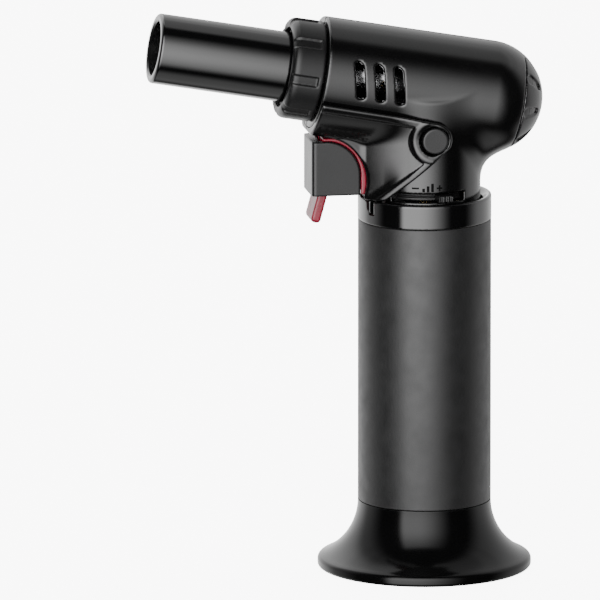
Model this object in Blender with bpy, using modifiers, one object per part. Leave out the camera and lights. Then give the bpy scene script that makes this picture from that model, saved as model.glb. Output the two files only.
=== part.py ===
"""A hand-held butane torch: a turned base and grip hold the fuel, and a tilted head holds the burner.

Lengths are in millimetres until MM turns them into metres. The handle stands along Z. The barrel leaves
the head towards -X, tilted upwards. Heights are measured from the floor.
"""

import math

import bmesh
import bpy
from mathutils import Matrix, Vector

MM = 0.001

# Driving dimensions of the whole torch.
TILT = math.radians(10.3)
AXIS_HEIGHT = 148.3
TIP_REACH = 84.7
HEAD_RADIUS = 17.1
NECK_RADIUS = 16.95
WALL = 1.7
DOME_CENTRE = -19.3
GAP = 0.3
ROUND_STEPS = 36

FOOT_RADIUS = 32.5
GRIP_RADIUS = 20.25
COLLAR_RADIUS = 20.3
TANK_RADIUS = 18.1
BASE_TOP = 20.9
GRIP_TOP = 107.9
COLLAR_BOTTOM = 108.2
COLLAR_TOP = 115.6
WINDOW_LOW = 115.9
WINDOW_HIGH = 118.7

BARREL_RADIUS = 10.7
RING_RADIUS = 15.4
SHELL_FRONT = 34.0
RING_FRONT = 44.4
CAP_SEAM = -28.6
SLOT_LEAN = 0.2

# The handle stands behind the middle of the whole length, so the box is centred on the origin.
DOME_END = DOME_CENTRE - HEAD_RADIUS
NOSE = -TIP_REACH * math.cos(TILT) - BARREL_RADIUS * math.sin(TILT)
TAIL = -DOME_CENTRE * math.cos(TILT) + HEAD_RADIUS
HANDLE_X = -(NOSE + TAIL) / 2

# Trigger group, in the handle's frame.
TRIGGER_FRONT = -36.0
TRIGGER_REAR = -21.2
TRIGGER_BOTTOM = 117.2
TRIGGER_TOP = 133.9
TRIGGER_HALF = 7.9
TRIGGER_ROUND = 10.5
ARC_X = -33.5
ARC_Z = 121.5
ARC_RADIUS = 14.0
SAFETY_X = -30.5
SAFETY_Z = 130.5
BUTTON_Z = 135.3
BUTTON_RADIUS = 4.0
SWEEP_X = -8.0
PIEZO_Z = 129.5
LEVER_X = -8.6
LEVER_Z = 123.0
SPAN = 6.9
ADJUSTER_TURN = math.radians(9.6)

# Screw bosses of the head, as points (x, z) in the handle's frame.
BOSS_RADIUS = 2.9


def along_barrel(reach, drop=0.0):
    """The point of the handle's XZ plane that lies this far forward and this far below the barrel axis."""
    x = -reach * math.cos(TILT) - drop * math.sin(TILT)
    z = AXIS_HEIGHT + reach * math.sin(TILT) - drop * math.cos(TILT)
    return x, z


def drop_below_axis(x, z):
    """How far a point of the XZ plane lies below the barrel axis."""
    return -x * math.sin(TILT) - (z - AXIS_HEIGHT) * math.cos(TILT)


BOSSES = (along_barrel(27.5, -12.6), along_barrel(-16.0, -9.5), (13.0, 128.0))


# ---------------------------------------------------------------- building tools


def clear_scene():
    """Remove what the scene holds."""
    for obj in list(bpy.data.objects):
        bpy.data.objects.remove(obj)


def collection(name):
    """A new collection in the scene."""
    group = bpy.data.collections.new(name)
    bpy.context.scene.collection.children.link(group)
    return group


clear_scene()
PARTS = collection("butane_torch")
CUTTERS = collection("cutters")


def frame(name, location, tilt=0.0, parent=None):
    """An empty that carries parts, turned about Y by tilt."""
    empty = bpy.data.objects.new(name, None)
    empty.empty_display_size = 5 * MM
    empty.location = Vector(location) * MM
    empty.rotation_euler = (0.0, tilt, 0.0)
    empty.parent = parent
    PARTS.objects.link(empty)
    return empty


HANDLE = frame("handle_axis", (HANDLE_X, 0.0, 0.0))
BARREL = frame("barrel_axis", (0.0, 0.0, AXIS_HEIGHT), TILT - math.pi / 2, HANDLE)


def material(name, color, roughness, metallic=0.0):
    """A Principled material."""
    surface = bpy.data.materials.new(name)
    surface.use_nodes = True
    shader = surface.node_tree.nodes["Principled BSDF"]
    shader.inputs["Base Color"].default_value = (*color, 1.0)
    shader.inputs["Roughness"].default_value = roughness
    shader.inputs["Metallic"].default_value = metallic
    surface.diffuse_color = (*color, 1.0)
    return surface


GLOSS = material("gloss_black", (0.012, 0.012, 0.013), 0.18)
SATIN = material("satin_black", (0.030, 0.030, 0.031), 0.42)
GRIP = material("grip_black", (0.022, 0.022, 0.023), 0.60)
BUTTON = material("button_grey", (0.055, 0.055, 0.056), 0.55)
RED = material("safety_red", (0.55, 0.03, 0.08), 0.30)
STEEL = material("steel", (0.62, 0.62, 0.63), 0.22, 1.0)
BLACK_METAL = material("black_metal", (0.02, 0.02, 0.021), 0.25, 0.6)
BRASS = material("brass", (0.72, 0.52, 0.22), 0.30, 1.0)
CERAMIC = material("ceramic", (0.86, 0.84, 0.79), 0.45)
RUBBER = material("rubber", (0.02, 0.02, 0.02), 0.80)
TANK = material("tank_nylon", (0.70, 0.70, 0.68), 0.45)
HOSE = material("hose", (0.65, 0.62, 0.52), 0.50)


def place(obj, parent, surface):
    """Link an object as a part, or as a cutter when it has no material."""
    obj.parent = parent
    if surface is None:
        CUTTERS.objects.link(obj)
        obj.hide_render = True
        obj.display_type = "WIRE"
        return obj
    PARTS.objects.link(obj)
    obj.data.materials.append(surface)
    return obj


def finish_mesh(name, bm, parent, surface, sharp=35.0):
    """Turn a bmesh in millimetres into a placed object with smooth shading."""
    bmesh.ops.scale(bm, vec=(MM, MM, MM), verts=bm.verts)
    bmesh.ops.recalc_face_normals(bm, faces=bm.faces)
    mesh = bpy.data.meshes.new(name)
    bm.to_mesh(mesh)
    bm.free()
    mesh.shade_smooth()
    mesh.set_sharp_from_angle(angle=math.radians(sharp))
    return place(bpy.data.objects.new(name, mesh), parent, surface)


def turned(name, profile, parent, surface=None, steps=48, ring=False):
    """A solid turned about the parent's Z axis. The (radius, height) points run down the outer side."""
    bm = bmesh.new()
    points = [bm.verts.new((radius, 0.0, height)) for radius, height in profile]
    ends = points[1:] + points[:1] if ring else points[1:]
    for start, end in zip(points, ends):
        bm.edges.new((start, end))
    obj = finish_mesh(name, bm, parent, surface)
    screw = obj.modifiers.new("turn", "SCREW")
    screw.angle = 2 * math.pi
    screw.steps = steps
    screw.render_steps = steps
    screw.use_merge_vertices = True
    screw.merge_threshold = 0.00001
    screw.use_smooth_shade = True
    return obj


def box(name, low, high, parent, surface=None, turn=None):
    """A box between two corners, turned about the parent's Z axis if asked."""
    bm = bmesh.new()
    size = Vector(high) - Vector(low)
    middle = (Vector(high) + Vector(low)) / 2
    matrix = Matrix.Translation(middle) @ Matrix.Diagonal((*size, 1.0))
    if turn is not None:
        matrix = Matrix.Rotation(turn, 4, "Z") @ matrix
    bmesh.ops.create_cube(bm, size=1.0, matrix=matrix)
    return finish_mesh(name, bm, parent, surface)


def rod(name, radius, start, end, parent, surface=None, segments=24):
    """A solid cylinder from one point to another."""
    bm = bmesh.new()
    axis = Vector(end) - Vector(start)
    turn = axis.to_track_quat("Z", "Y").to_matrix().to_4x4()
    matrix = Matrix.Translation((Vector(start) + Vector(end)) / 2) @ turn
    bmesh.ops.create_cone(
        bm, cap_ends=True, segments=segments, radius1=radius, radius2=radius, depth=axis.length, matrix=matrix
    )
    return finish_mesh(name, bm, parent, surface)


def as_mesh(curve_object, name, parent, surface):
    """Swap a curve object for a mesh object with welded caps."""
    PARTS.objects.link(curve_object)
    shape = curve_object.evaluated_get(bpy.context.evaluated_depsgraph_get())
    mesh = bpy.data.meshes.new_from_object(shape)
    bpy.data.objects.remove(curve_object)
    bm = bmesh.new()
    bm.from_mesh(mesh)
    bmesh.ops.scale(bm, vec=(1 / MM, 1 / MM, 1 / MM), verts=bm.verts)
    bmesh.ops.remove_doubles(bm, verts=bm.verts, dist=0.001)
    return finish_mesh(name, bm, parent, surface)


def poly_curve(points, cyclic):
    """A curve object with one straight-run spline through points in millimetres."""
    curve = bpy.data.curves.new("outline", "CURVE")
    curve.dimensions = "3D"
    spline = curve.splines.new("POLY")
    spline.points.add(len(points) - 1)
    for knot, point in zip(spline.points, points):
        knot.co = (*(Vector(point) * MM), 1.0)
    spline.use_cyclic_u = cyclic
    return bpy.data.objects.new("outline", curve)


def slab(name, outline, low, high, parent, surface=None):
    """A flat outline of (x, y) points, given thickness from z = low to z = high."""
    obj = poly_curve([(x, y, 0.0) for x, y in outline], True)
    obj.data.dimensions = "2D"
    obj.data.fill_mode = "BOTH"
    obj.data.extrude = (high - low) / 2 * MM
    solid = as_mesh(obj, name, parent, surface)
    solid.data.transform(Matrix.Translation((0.0, 0.0, (low + high) / 2 * MM)))
    return solid


def plate(name, outline, low, high, parent, surface=None):
    """A flat outline of (x, z) points, given thickness from y = low to y = high."""
    solid = slab(name, outline, -high, -low, parent, surface)
    solid.data.transform(Matrix.Rotation(math.pi / 2, 4, "X"))
    return solid


def wire(name, points, radius, parent, surface, resolution=2):
    """A round wire or hose along a path of points."""
    obj = poly_curve(points, False)
    obj.data.bevel_depth = radius * MM
    obj.data.bevel_resolution = resolution
    obj.data.use_fill_caps = True
    return as_mesh(obj, name, parent, surface)


def smooth_path(points, per_span=5):
    """Points on a smooth curve through the given ones."""
    knots = [Vector(point) for point in points]
    knots = [2 * knots[0] - knots[1]] + knots + [2 * knots[-1] - knots[-2]]
    path = []
    for a, b, c, d in zip(knots, knots[1:], knots[2:], knots[3:]):
        for step in range(per_span):
            t = step / per_span
            square = (2 * a - 5 * b + 4 * c - d) * t**2
            cube = (3 * b - 3 * c + d - a) * t**3
            path.append(0.5 * (2 * b + (c - a) * t + square + cube))
    path.append(knots[-2])
    return path


def coil(start, end, radius, turns, per_turn=10):
    """Points of a helix whose axis runs from start to end."""
    start = Vector(start)
    axis = Vector(end) - start
    turn = axis.to_track_quat("Z", "Y")
    count = round(turns * per_turn)
    points = []
    for step in range(count + 1):
        angle = 2 * math.pi * step / per_turn
        around = Vector((radius * math.cos(angle), radius * math.sin(angle), axis.length * step / count))
        points.append(start + turn @ around)
    return points


def arc(centre, radius, first, last, count):
    """Points on an arc of a circle, with angles in degrees."""
    points = []
    for step in range(count + 1):
        angle = math.radians(first + (last - first) * step / count)
        points.append((centre[0] + radius * math.cos(angle), centre[1] + radius * math.sin(angle)))
    return points


def boolean(obj, other, operation):
    """Add, cut or keep another shape on an object. The other shape becomes a guide."""
    if other.name in PARTS.objects:
        PARTS.objects.unlink(other)
        CUTTERS.objects.link(other)
    other.hide_render = True
    other.display_type = "WIRE"
    step = obj.modifiers.new(operation.lower(), "BOOLEAN")
    step.operation = operation
    step.solver = "EXACT"
    step.object = other
    return obj


def bevel(obj, width, angle=40.0, segments=2):
    """Round the sharp edges of an object."""
    step = obj.modifiers.new("bevel", "BEVEL")
    step.width = width * MM
    step.segments = segments
    step.limit_method = "ANGLE"
    step.angle_limit = math.radians(angle)
    return obj


def set_origin(obj, x, y, z):
    """Move an object's origin to a point of its parent's frame and leave its shape where it is."""
    point = Vector((x, y, z)) * MM
    obj.data.transform(Matrix.Translation(-point))
    obj.location = point
    return obj


# ---------------------------------------------------------------- base, tank and grip


def base_and_grip():
    """The trumpet foot, the fuel tank with its lid and valves, and the sleeve around it."""
    flare_radius = 19.05
    flare = arc((GRIP_RADIUS + flare_radius, BASE_TOP), flare_radius, 180.0, 245.5, 8)
    rim = [(32.2, 3.0), (FOOT_RADIUS, 2.3), (FOOT_RADIUS, 0.9), (32.1, 0.25), (31.5, 0.0)]
    underside = [(28.0, 0.0), (27.2, 1.0)] + arc((37.0, 21.5), 22.8, 246.0, 213.0, 3)
    socket = [(6.0, 9.0), (6.0, 11.8), (18.45, 11.8), (18.45, BASE_TOP)]
    turned("base_foot", flare + rim + underside + socket, HANDLE, GLOSS, ROUND_STEPS, ring=True)

    turned(
        "grip_sleeve",
        [(GRIP_RADIUS, GRIP_TOP), (GRIP_RADIUS, 21.2), (18.45, 21.2), (18.45, GRIP_TOP)],
        HANDLE,
        GRIP,
        ROUND_STEPS,
        ring=True,
    )
    tank = [(TANK_RADIUS, 105.0), (TANK_RADIUS, 13.0), (17.2, 12.1), (3.8, 12.1), (3.8, 14.1), (15.6, 14.1)]
    turned("fuel_tank", tank + [(16.5, 15.0), (16.5, 105.0)], HANDLE, TANK, 28, ring=True)
    lid = [(TANK_RADIUS, 108.9), (TANK_RADIUS, 105.3), (16.1, 105.3), (16.1, 104.4), (14.8, 104.4)]
    lid += [(14.8, 102.6), (16.1, 102.6), (16.1, 101.6), (4.5, 101.6), (4.5, 108.9)]
    turned("tank_lid", lid, HANDLE, TANK, 28, ring=True)
    turned("tank_seal", arc((15.65, 103.5), 0.65, 90.0, -198.0, 4), HANDLE, RUBBER, 28, ring=True)
    turned("dip_tube", [(1.3, 98.6), (1.3, 19.0), (0.8, 19.0), (0.8, 98.6)], HANDLE, HOSE, 12, ring=True)

    fill = [(3.5, 19.0), (3.5, 11.7), (5.4, 11.7), (5.4, 8.4), (3.2, 7.4)]
    fill += [(1.6, 7.4), (1.6, 17.0), (2.4, 17.0)]
    turned("fill_valve", fill + [(2.4, 19.0)], HANDLE, BRASS, 24, ring=True)
    stem = [(0.0, 16.6), (1.2, 16.6), (1.2, 5.6), (0.8, 5.2), (0.0, 5.2)]
    turned("fill_valve_stem", stem, HANDLE, STEEL, 16)


def collar():
    """The glossy ring on top of the grip, with two notches towards the trigger."""
    outer = [(19.9, COLLAR_TOP), (COLLAR_RADIUS, 115.2), (COLLAR_RADIUS, COLLAR_BOTTOM)]
    outer.append((18.4, COLLAR_BOTTOM))
    inner = [(18.4, 109.2), (17.7, 109.8), (17.7, 114.0), (19.0, COLLAR_TOP)]
    ring = turned("collar_ring", outer + inner, HANDLE, GLOSS, ROUND_STEPS, ring=True)
    for side in (-1, 1):
        turn = side * math.radians(27.0)
        notch = box("notch", (-22.0, -1.0, 111.6), (-16.0, 1.0, 117.0), HANDLE, turn=turn)
        boolean(ring, notch, "DIFFERENCE")


# ---------------------------------------------------------------- head shells


def neck_solid(name, radius, bottom, top, flare):
    """The upright neck. Its rear widens with height into the dome, and its sides stay as wide as the head."""
    bm = bmesh.new()
    heights = [bottom, 122.0, 124.6, 126.8, 128.2, 129.2, 134.0, top] if flare else [bottom, top]
    rings = []
    for height in heights:
        swell = 0.0
        if flare:
            t = min(max((height - 122.0) / 7.2, 0.0), 1.0)
            swell = 8.6 * (1.0 - math.sqrt(1.0 - t * t))
        ring = []
        for step in range(ROUND_STEPS):
            angle = 2 * math.pi * step / ROUND_STEPS
            reach = radius + swell * max(math.cos(angle), 0.0)
            ring.append(bm.verts.new((reach * math.cos(angle), radius * math.sin(angle), height)))
        rings.append(ring)
    for lower, upper in zip(rings, rings[1:]):
        for i in range(ROUND_STEPS):
            j = (i + 1) % ROUND_STEPS
            bm.faces.new((lower[i], lower[j], upper[j], upper[i]))
    bm.faces.new(rings[0][::-1])
    bm.faces.new(rings[-1])
    return finish_mesh(name, bm, HANDLE, None)


def head_envelope(name, inset, surface=None):
    """The outer shape of the head, drawn in by an inset: tube, dome and neck in one."""
    radius = HEAD_RADIUS - inset
    seam_angle = math.degrees(math.asin((CAP_SEAM - DOME_CENTRE) / radius))
    dome = arc((0.0, DOME_CENTRE), radius, 0.0, seam_angle, 5)
    front = SHELL_FRONT - inset
    tube = [(0.0, front), (radius - 0.4, front), (radius, front - 0.4)]
    envelope = turned(name, tube + dome + [(0.0, CAP_SEAM)], BARREL, surface, ROUND_STEPS)
    boolean(envelope, neck_solid("neck", NECK_RADIUS - inset, 110.4, 146.0, True), "UNION")
    return envelope


def head_solid(surface):
    """The whole head before it is split: tube, dome, neck, bosses and openings."""
    head = head_envelope("head", 0.0, surface)

    inner = HEAD_RADIUS - WALL
    hollow = [(0.0, 31.5), (inner, 31.5)] + arc((0.0, DOME_CENTRE), inner, 0.0, -36.0, 3)
    throat = hollow[-1][0]
    tube_hollow = turned("tube_hollow", hollow + [(throat, -33.0), (0.0, -33.0)], BARREL, steps=ROUND_STEPS)
    boolean(head, tube_hollow, "DIFFERENCE")
    boolean(head, neck_solid("neck_hollow", NECK_RADIUS - WALL, 108.0, 144.6, False), "DIFFERENCE")
    for x, z in BOSSES:
        boss = rod("boss", BOSS_RADIUS, (x, -16.6, z), (x, 16.6, z), HANDLE, segments=12)
        boolean(boss, head_envelope("boss_limit", 0.6), "INTERSECT")
        boolean(head, boss, "UNION")
        boolean(head, rod("hole", 1.25, (x, -8.0, z), (x, 17.5, z), HANDLE, segments=12), "DIFFERENCE")
        boolean(head, rod("counterbore", 2.2, (x, 8.4, z), (x, 17.5, z), HANDLE, segments=16), "DIFFERENCE")
    boolean(head, rod("barrel_bore", 11.0, (0, 0, 30.0), (0, 0, 36.0), BARREL, segments=40), "DIFFERENCE")
    trigger_way = box("trigger_way", (-19.0, -8.5, 116.0), (-9.0, 8.5, 132.5), HANDLE)
    boolean(head, trigger_way, "DIFFERENCE")
    return head


def air_slot(reach, side):
    """A round-ended cutter for one air slot, which runs around the head and stays upright."""
    middle = math.radians(7.0)
    half = math.radians(19.5)
    points = []
    for step in range(9):
        turn = half * (2 * step / 8 - 1)
        angle = middle + turn
        along = reach + SLOT_LEAN * HEAD_RADIUS * turn
        points.append((16.2 * math.sin(angle), side * 16.2 * math.cos(angle), along))
    obj = poly_curve(points, False)
    obj.data.bevel_depth = 1.4 * MM
    obj.data.bevel_resolution = 2
    obj.data.use_fill_caps = True
    return as_mesh(obj, "air_slot", BARREL, None)


def head_shells():
    """The two halves of the head, split at the middle plane."""
    for name, side in (("head_shell_left", -1), ("head_shell_right", 1)):
        shell = head_solid(SATIN)
        shell.name = name
        shell.data.name = name
        for reach in (23.4, 17.2, 11.1):
            boolean(shell, air_slot(reach, side), "DIFFERENCE")
        if side < 0:
            outline = arc((0.0, 0.0), 19.0, -136.0, -62.0, 8) + arc((0.0, 0.0), 13.0, -62.0, -136.0, 8)
            window = slab("adjuster_window", outline, WINDOW_LOW, WINDOW_HIGH, HANDLE)
            boolean(shell, window, "DIFFERENCE")
            hole = rod("button_hole", 4.35, (0, -20.0, BUTTON_Z), (0, -12.0, BUTTON_Z), HANDLE, segments=24)
            boolean(shell, hole, "DIFFERENCE")
        near, far = sorted((side * 0.15, side * 30.0))
        half = box("half", (-60.0, near, 100.0), (60.0, far, 180.0), HANDLE)
        boolean(shell, half, "INTERSECT")


# ---------------------------------------------------------------- side panels


def soft_larger(a, b, blend):
    """The larger of two widths, with a smooth change from one to the other."""
    overlap = max(blend - abs(a - b), 0.0) / blend
    return max(a, b) + overlap * overlap * blend / 4


def panel_width(x, z):
    """Half the width of the trigger housing at a point of the XZ plane."""
    around_barrel = math.sqrt(max(0.0, 20.5**2 - drop_below_axis(x, z) ** 2)) - 1.6
    around_neck = math.sqrt(max(0.0, NECK_RADIUS**2 - max(x, SWEEP_X) ** 2)) + 1.5
    ahead = max(SWEEP_X - x, 0.0)
    sweep = around_neck - 0.5 * ahead - 0.0067 * ahead**2
    cheek = 9.1
    if x < -30.0:
        cheek *= math.sqrt(max(0.05, 1.0 - ((-30.0 - x) / 8.2) ** 2))
    return soft_larger(soft_larger(around_barrel, sweep, 4.0), cheek, 0.8)


def panel_volume(name, first_x, inset):
    """What lies between the middle plane and the panel's surface, less an inset, on the -Y side."""
    bm = bmesh.new()
    columns, rows = 19, 14
    sheets = []
    for outside in (True, False):
        sheet = []
        for i in range(columns + 1):
            x = first_x + (9.0 - first_x) * i / columns
            line = []
            for j in range(rows + 1):
                z = 113.0 + 38.0 * j / rows
                y = -(panel_width(x, z) - inset) if outside else 2.0
                line.append(bm.verts.new((x, y, z)))
            sheet.append(line)
        sheets.append(sheet)
    front, back = sheets
    for i in range(columns):
        for j in range(rows):
            bm.faces.new((front[i][j], front[i + 1][j], front[i + 1][j + 1], front[i][j + 1]))
            bm.faces.new((back[i][j], back[i][j + 1], back[i + 1][j + 1], back[i + 1][j]))
    border = [(i, 0) for i in range(columns)] + [(columns, j) for j in range(rows)]
    border += [(i, rows) for i in range(columns, 0, -1)] + [(0, j) for j in range(rows, 0, -1)]
    for (a, b), (c, d) in zip(border, border[1:] + border[:1]):
        bm.faces.new((front[a][b], back[a][b], back[c][d], front[c][d]))
    return finish_mesh(name, bm, HANDLE, None)


def panel_outline(end_radius):
    """The teardrop outline of a side panel: front edge, top edge, round end, diagonal and trigger arc."""
    outline = arc((0.0, BUTTON_Z), end_radius, 79.0, -26.0, 9)
    outline += [(-14.5, 115.9), (-20.2, 115.9)]
    outline += arc((ARC_X, ARC_Z), ARC_RADIUS, 0.0, 96.0, 9)
    outline += [(-36.3, 135.2), along_barrel(SHELL_FRONT - 0.2, 18.4), along_barrel(SHELL_FRONT - 0.2, SPAN)]
    return outline


def side_panels():
    """The two covers of the trigger housing, mirror images on either side of the head."""
    for name, side in (("side_panel_left", -1), ("side_panel_right", 1)):
        panel = plate(name, panel_outline(5.5), -26.0, -0.15, HANDLE, SATIN)
        cutters = [
            (panel_volume("panel_outside", -41.0, 0.0), "INTERSECT"),
            (panel_volume("panel_inside", -34.3, 1.1), "DIFFERENCE"),
            (rod("head_clearance", 17.5, (0, 0, -40.0), (0, 0, 50.0), BARREL, segments=40), "DIFFERENCE"),
            (rod("neck_clearance", 17.6, (0, 0, 100.0), (0, 0, 146.0), HANDLE, segments=40), "DIFFERENCE"),
            (rod("button_hole", 4.35, (0, -26.0, BUTTON_Z), (0, -10.0, BUTTON_Z), HANDLE), "DIFFERENCE"),
        ]
        if side > 0:
            cutters.pop()
        for cutter, operation in cutters:
            boolean(panel, cutter, operation)
        if side > 0:
            mirror_baked(panel)


def mirror_baked(obj):
    """Evaluate an object's modifiers and mirror the result to the other side of the middle plane."""
    bpy.context.view_layer.update()
    shape = obj.evaluated_get(bpy.context.evaluated_depsgraph_get())
    mesh = bpy.data.meshes.new_from_object(shape)
    obj.modifiers.clear()
    mesh.transform(Matrix.Scale(-1.0, 4, (0.0, 1.0, 0.0)))
    mesh.flip_normals()
    mesh.name = obj.name
    obj.data = mesh


# ---------------------------------------------------------------- barrel and burner


def rear_cap():
    """The screwed cap that closes the dome, with eight grip notches around its rim."""
    start = math.degrees(math.asin((CAP_SEAM - GAP - DOME_CENTRE) / HEAD_RADIUS))
    skin = arc((0.0, DOME_CENTRE), HEAD_RADIUS, start, -90.0, 5)
    plug = [(0.0, -25.5), (11.8, -25.5), (11.8, CAP_SEAM - GAP)]
    cap = turned("rear_cap", plug + skin[:-1] + [(0.0, DOME_END)], BARREL, SATIN, 32)
    for step in range(8):
        turn = math.radians(45.0 * step - 16.0)
        boolean(cap, box("notch", (11.4, -1.2, -33.4), (16.0, 1.2, -30.6), BARREL, turn=turn), "DIFFERENCE")


def front_ring():
    """The air ring around the barrel, with eight shallow grooves along it."""
    outer = [(RING_RADIUS - 2.0, RING_FRONT), (RING_RADIUS - 0.6, RING_FRONT - 0.7)]
    outer.append((RING_RADIUS, RING_FRONT - 2.2))
    inner = [(RING_RADIUS, 34.4), (11.1, 34.4), (11.1, 42.6), (12.2, 42.6), (12.2, RING_FRONT)]
    ring = turned("front_ring", outer + inner, BARREL, SATIN, 32, ring=True)
    for step in range(8):
        turn = math.radians(13.0 + 45.0 * step)
        groove = box("groove", (15.0, -1.3, 36.2), (17.0, 1.3, 46.0), BARREL, turn=turn)
        boolean(ring, groove, "DIFFERENCE")


def burner():
    """The barrel and what it holds: flame tube, flame holder, jet, and the ignition electrode."""
    outer = [(9.9, TIP_REACH), (BARREL_RADIUS, TIP_REACH - 0.8), (BARREL_RADIUS, 31.3)]
    inner = [(12.3, 31.3), (12.3, 30.6), (8.3, 30.6), (8.3, TIP_REACH)]
    turned("nozzle_barrel", outer + inner, BARREL, BLACK_METAL, ROUND_STEPS, ring=True)

    wall = [(7.7, 80.5), (7.7, 3.0), (6.9, 3.0), (6.9, 80.5)]
    tube = turned("burner_tube", wall, BARREL, STEEL, 28, ring=True)
    boolean(tube, rod("air_hole", 1.8, (-9, 0, 13.5), (9, 0, 13.5), BARREL, segments=12), "DIFFERENCE")
    boolean(tube, rod("air_hole", 1.8, (0, -9, 13.5), (0, 9, 13.5), BARREL, segments=12), "DIFFERENCE")

    washer = [(6.6, 64.0), (6.6, 60.0), (1.4, 60.0), (1.4, 64.0)]
    disc = turned("flame_holder", washer, BARREL, BRASS, 20, ring=True)
    for step in range(1, 6):
        angle = math.radians(60.0 * step)
        x, y = 4.2 * math.cos(angle), 4.2 * math.sin(angle)
        boolean(disc, rod("port", 0.9, (x, y, 58.0), (x, y, 66.0), BARREL, segments=8), "DIFFERENCE")
    way = rod("electrode_way", 1.3, (4.6, 0, 58.0), (4.6, 0, 66.0), BARREL, segments=12)
    boolean(disc, way, "DIFFERENCE")

    holder = [(2.2, 2.6), (3.4, 1.8), (3.4, -8.0), (1.0, -8.0), (1.0, 2.6)]
    turned("jet_holder", holder, BARREL, BRASS, 24, ring=True)
    jet = [(1.0, 10.0), (2.0, 8.6), (2.0, 2.9), (0.5, 2.9), (0.5, 10.0)]
    turned("gas_jet", jet, BARREL, BRASS, 16, ring=True)

    sleeve = [(1.0, 67.0), (1.0, -1.0), (0.6, -1.0), (0.6, 67.0)]
    insulator = turned("electrode_insulator", sleeve, BARREL, CERAMIC, 12, ring=True)
    insulator.location = (4.6 * MM, 0.0, 0.0)
    rod("electrode", 0.3, (4.6, 0, -0.6), (4.6, 0, 69.0), BARREL, STEEL, segments=8)


# ---------------------------------------------------------------- trigger group


def trigger():
    """A channel with a front wall and two cheeks, and a stem inside that reaches back to a pusher."""
    outline = [(TRIGGER_FRONT, TRIGGER_TOP), (TRIGGER_FRONT, TRIGGER_BOTTOM), (TRIGGER_REAR, TRIGGER_BOTTOM)]
    corner = (TRIGGER_REAR - TRIGGER_ROUND, TRIGGER_TOP - TRIGGER_ROUND)
    outline += arc(corner, TRIGGER_ROUND, 0.0, 90.0, 7)
    body = plate("trigger", outline, -TRIGGER_HALF, TRIGGER_HALF, HANDLE, BUTTON)
    low, high = (TRIGGER_FRONT, -TRIGGER_HALF, 110.0), (-10.0, TRIGGER_HALF, 140.0)
    front_edges = box("front_edges", low, high, HANDLE)
    bevel(front_edges, 1.2)
    boolean(body, front_edges, "INTERSECT")
    boolean(body, box("pocket", (-33.2, -6.2, 110.0), (-15.0, 6.2, 140.0), HANDLE), "DIFFERENCE")
    boolean(body, box("stem", (-33.6, -1.2, 121.4), (-16.0, 1.2, 127.8), HANDLE), "UNION")
    boolean(body, box("pusher", (-18.3, -4.5, 119.5), (-15.0, 4.5, 131.6), HANDLE), "UNION")
    seat = rod("pin_seat", 1.2, (SAFETY_X, -7.1, SAFETY_Z), (SAFETY_X, 7.1, SAFETY_Z), HANDLE)
    boolean(body, seat, "DIFFERENCE")
    set_origin(body, -28.0, 0.0, 126.0)

    start, end = (SAFETY_X, -6.9, SAFETY_Z), (SAFETY_X, 6.9, SAFETY_Z)
    rod("safety_pin", 0.9, start, end, HANDLE, STEEL, segments=16)
    turns = coil((SAFETY_X, -1.1, SAFETY_Z), (SAFETY_X, 1.1, SAFETY_Z), 1.5, 3.0, 7)
    wire("safety_spring", turns, 0.22, HANDLE, STEEL, resolution=1)


def safety_lever():
    """The red lever: a body inside the trigger, a tongue below, and flanges over the gap behind."""
    outer = 14.3
    inner = TRIGGER_ROUND + 0.3
    top, low = ARC_Z + 13.45, 117.4
    corner = (TRIGGER_REAR - TRIGGER_ROUND, TRIGGER_TOP - TRIGGER_ROUND)
    top_angle = math.degrees(math.asin((top - ARC_Z) / outer))
    low_angle = math.degrees(math.asin((low - ARC_Z) / outer))
    rear = -20.1
    rear_angle = math.degrees(math.acos((rear - ARC_X) / outer))

    bow = arc((ARC_X, ARC_Z), outer, rear_angle, top_angle, 7)
    body = [(-32.6, 118.4), (rear, 118.4)] + bow + [(-32.6, top)]
    lever = plate("safety_lever", body, -5.6, 5.6, HANDLE, RED)
    flange = arc((ARC_X, ARC_Z), outer, low_angle, top_angle, 10)
    flange += [(-32.6, top), (-32.6, TRIGGER_TOP + 0.45), (corner[0], TRIGGER_TOP + 0.45)]
    flange += arc(corner, inner, 84.0, 0.0, 8) + [(corner[0] + inner, low)]
    for near, far in ((-7.6, -4.9), (4.9, 7.6)):
        boolean(lever, plate("flange", flange, near, far, HANDLE), "UNION")
    tongue = [(-32.2, 120.0), (-34.9, 110.2), (-34.4, 108.9), (-33.0, 108.7), (-32.2, 109.4), (-29.4, 120.0)]
    boolean(lever, plate("tongue", tongue, -5.4, 5.4, HANDLE), "UNION")
    boolean(lever, box("stem_slot", (-40.0, -1.6, 119.9), (-15.0, 1.6, 140.0), HANDLE), "DIFFERENCE")
    pin_hole = rod("pin_hole", 1.2, (SAFETY_X, -8.0, SAFETY_Z), (SAFETY_X, 8.0, SAFETY_Z), HANDLE)
    boolean(lever, pin_hole, "DIFFERENCE")
    set_origin(lever, SAFETY_X, 0.0, SAFETY_Z)


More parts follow.
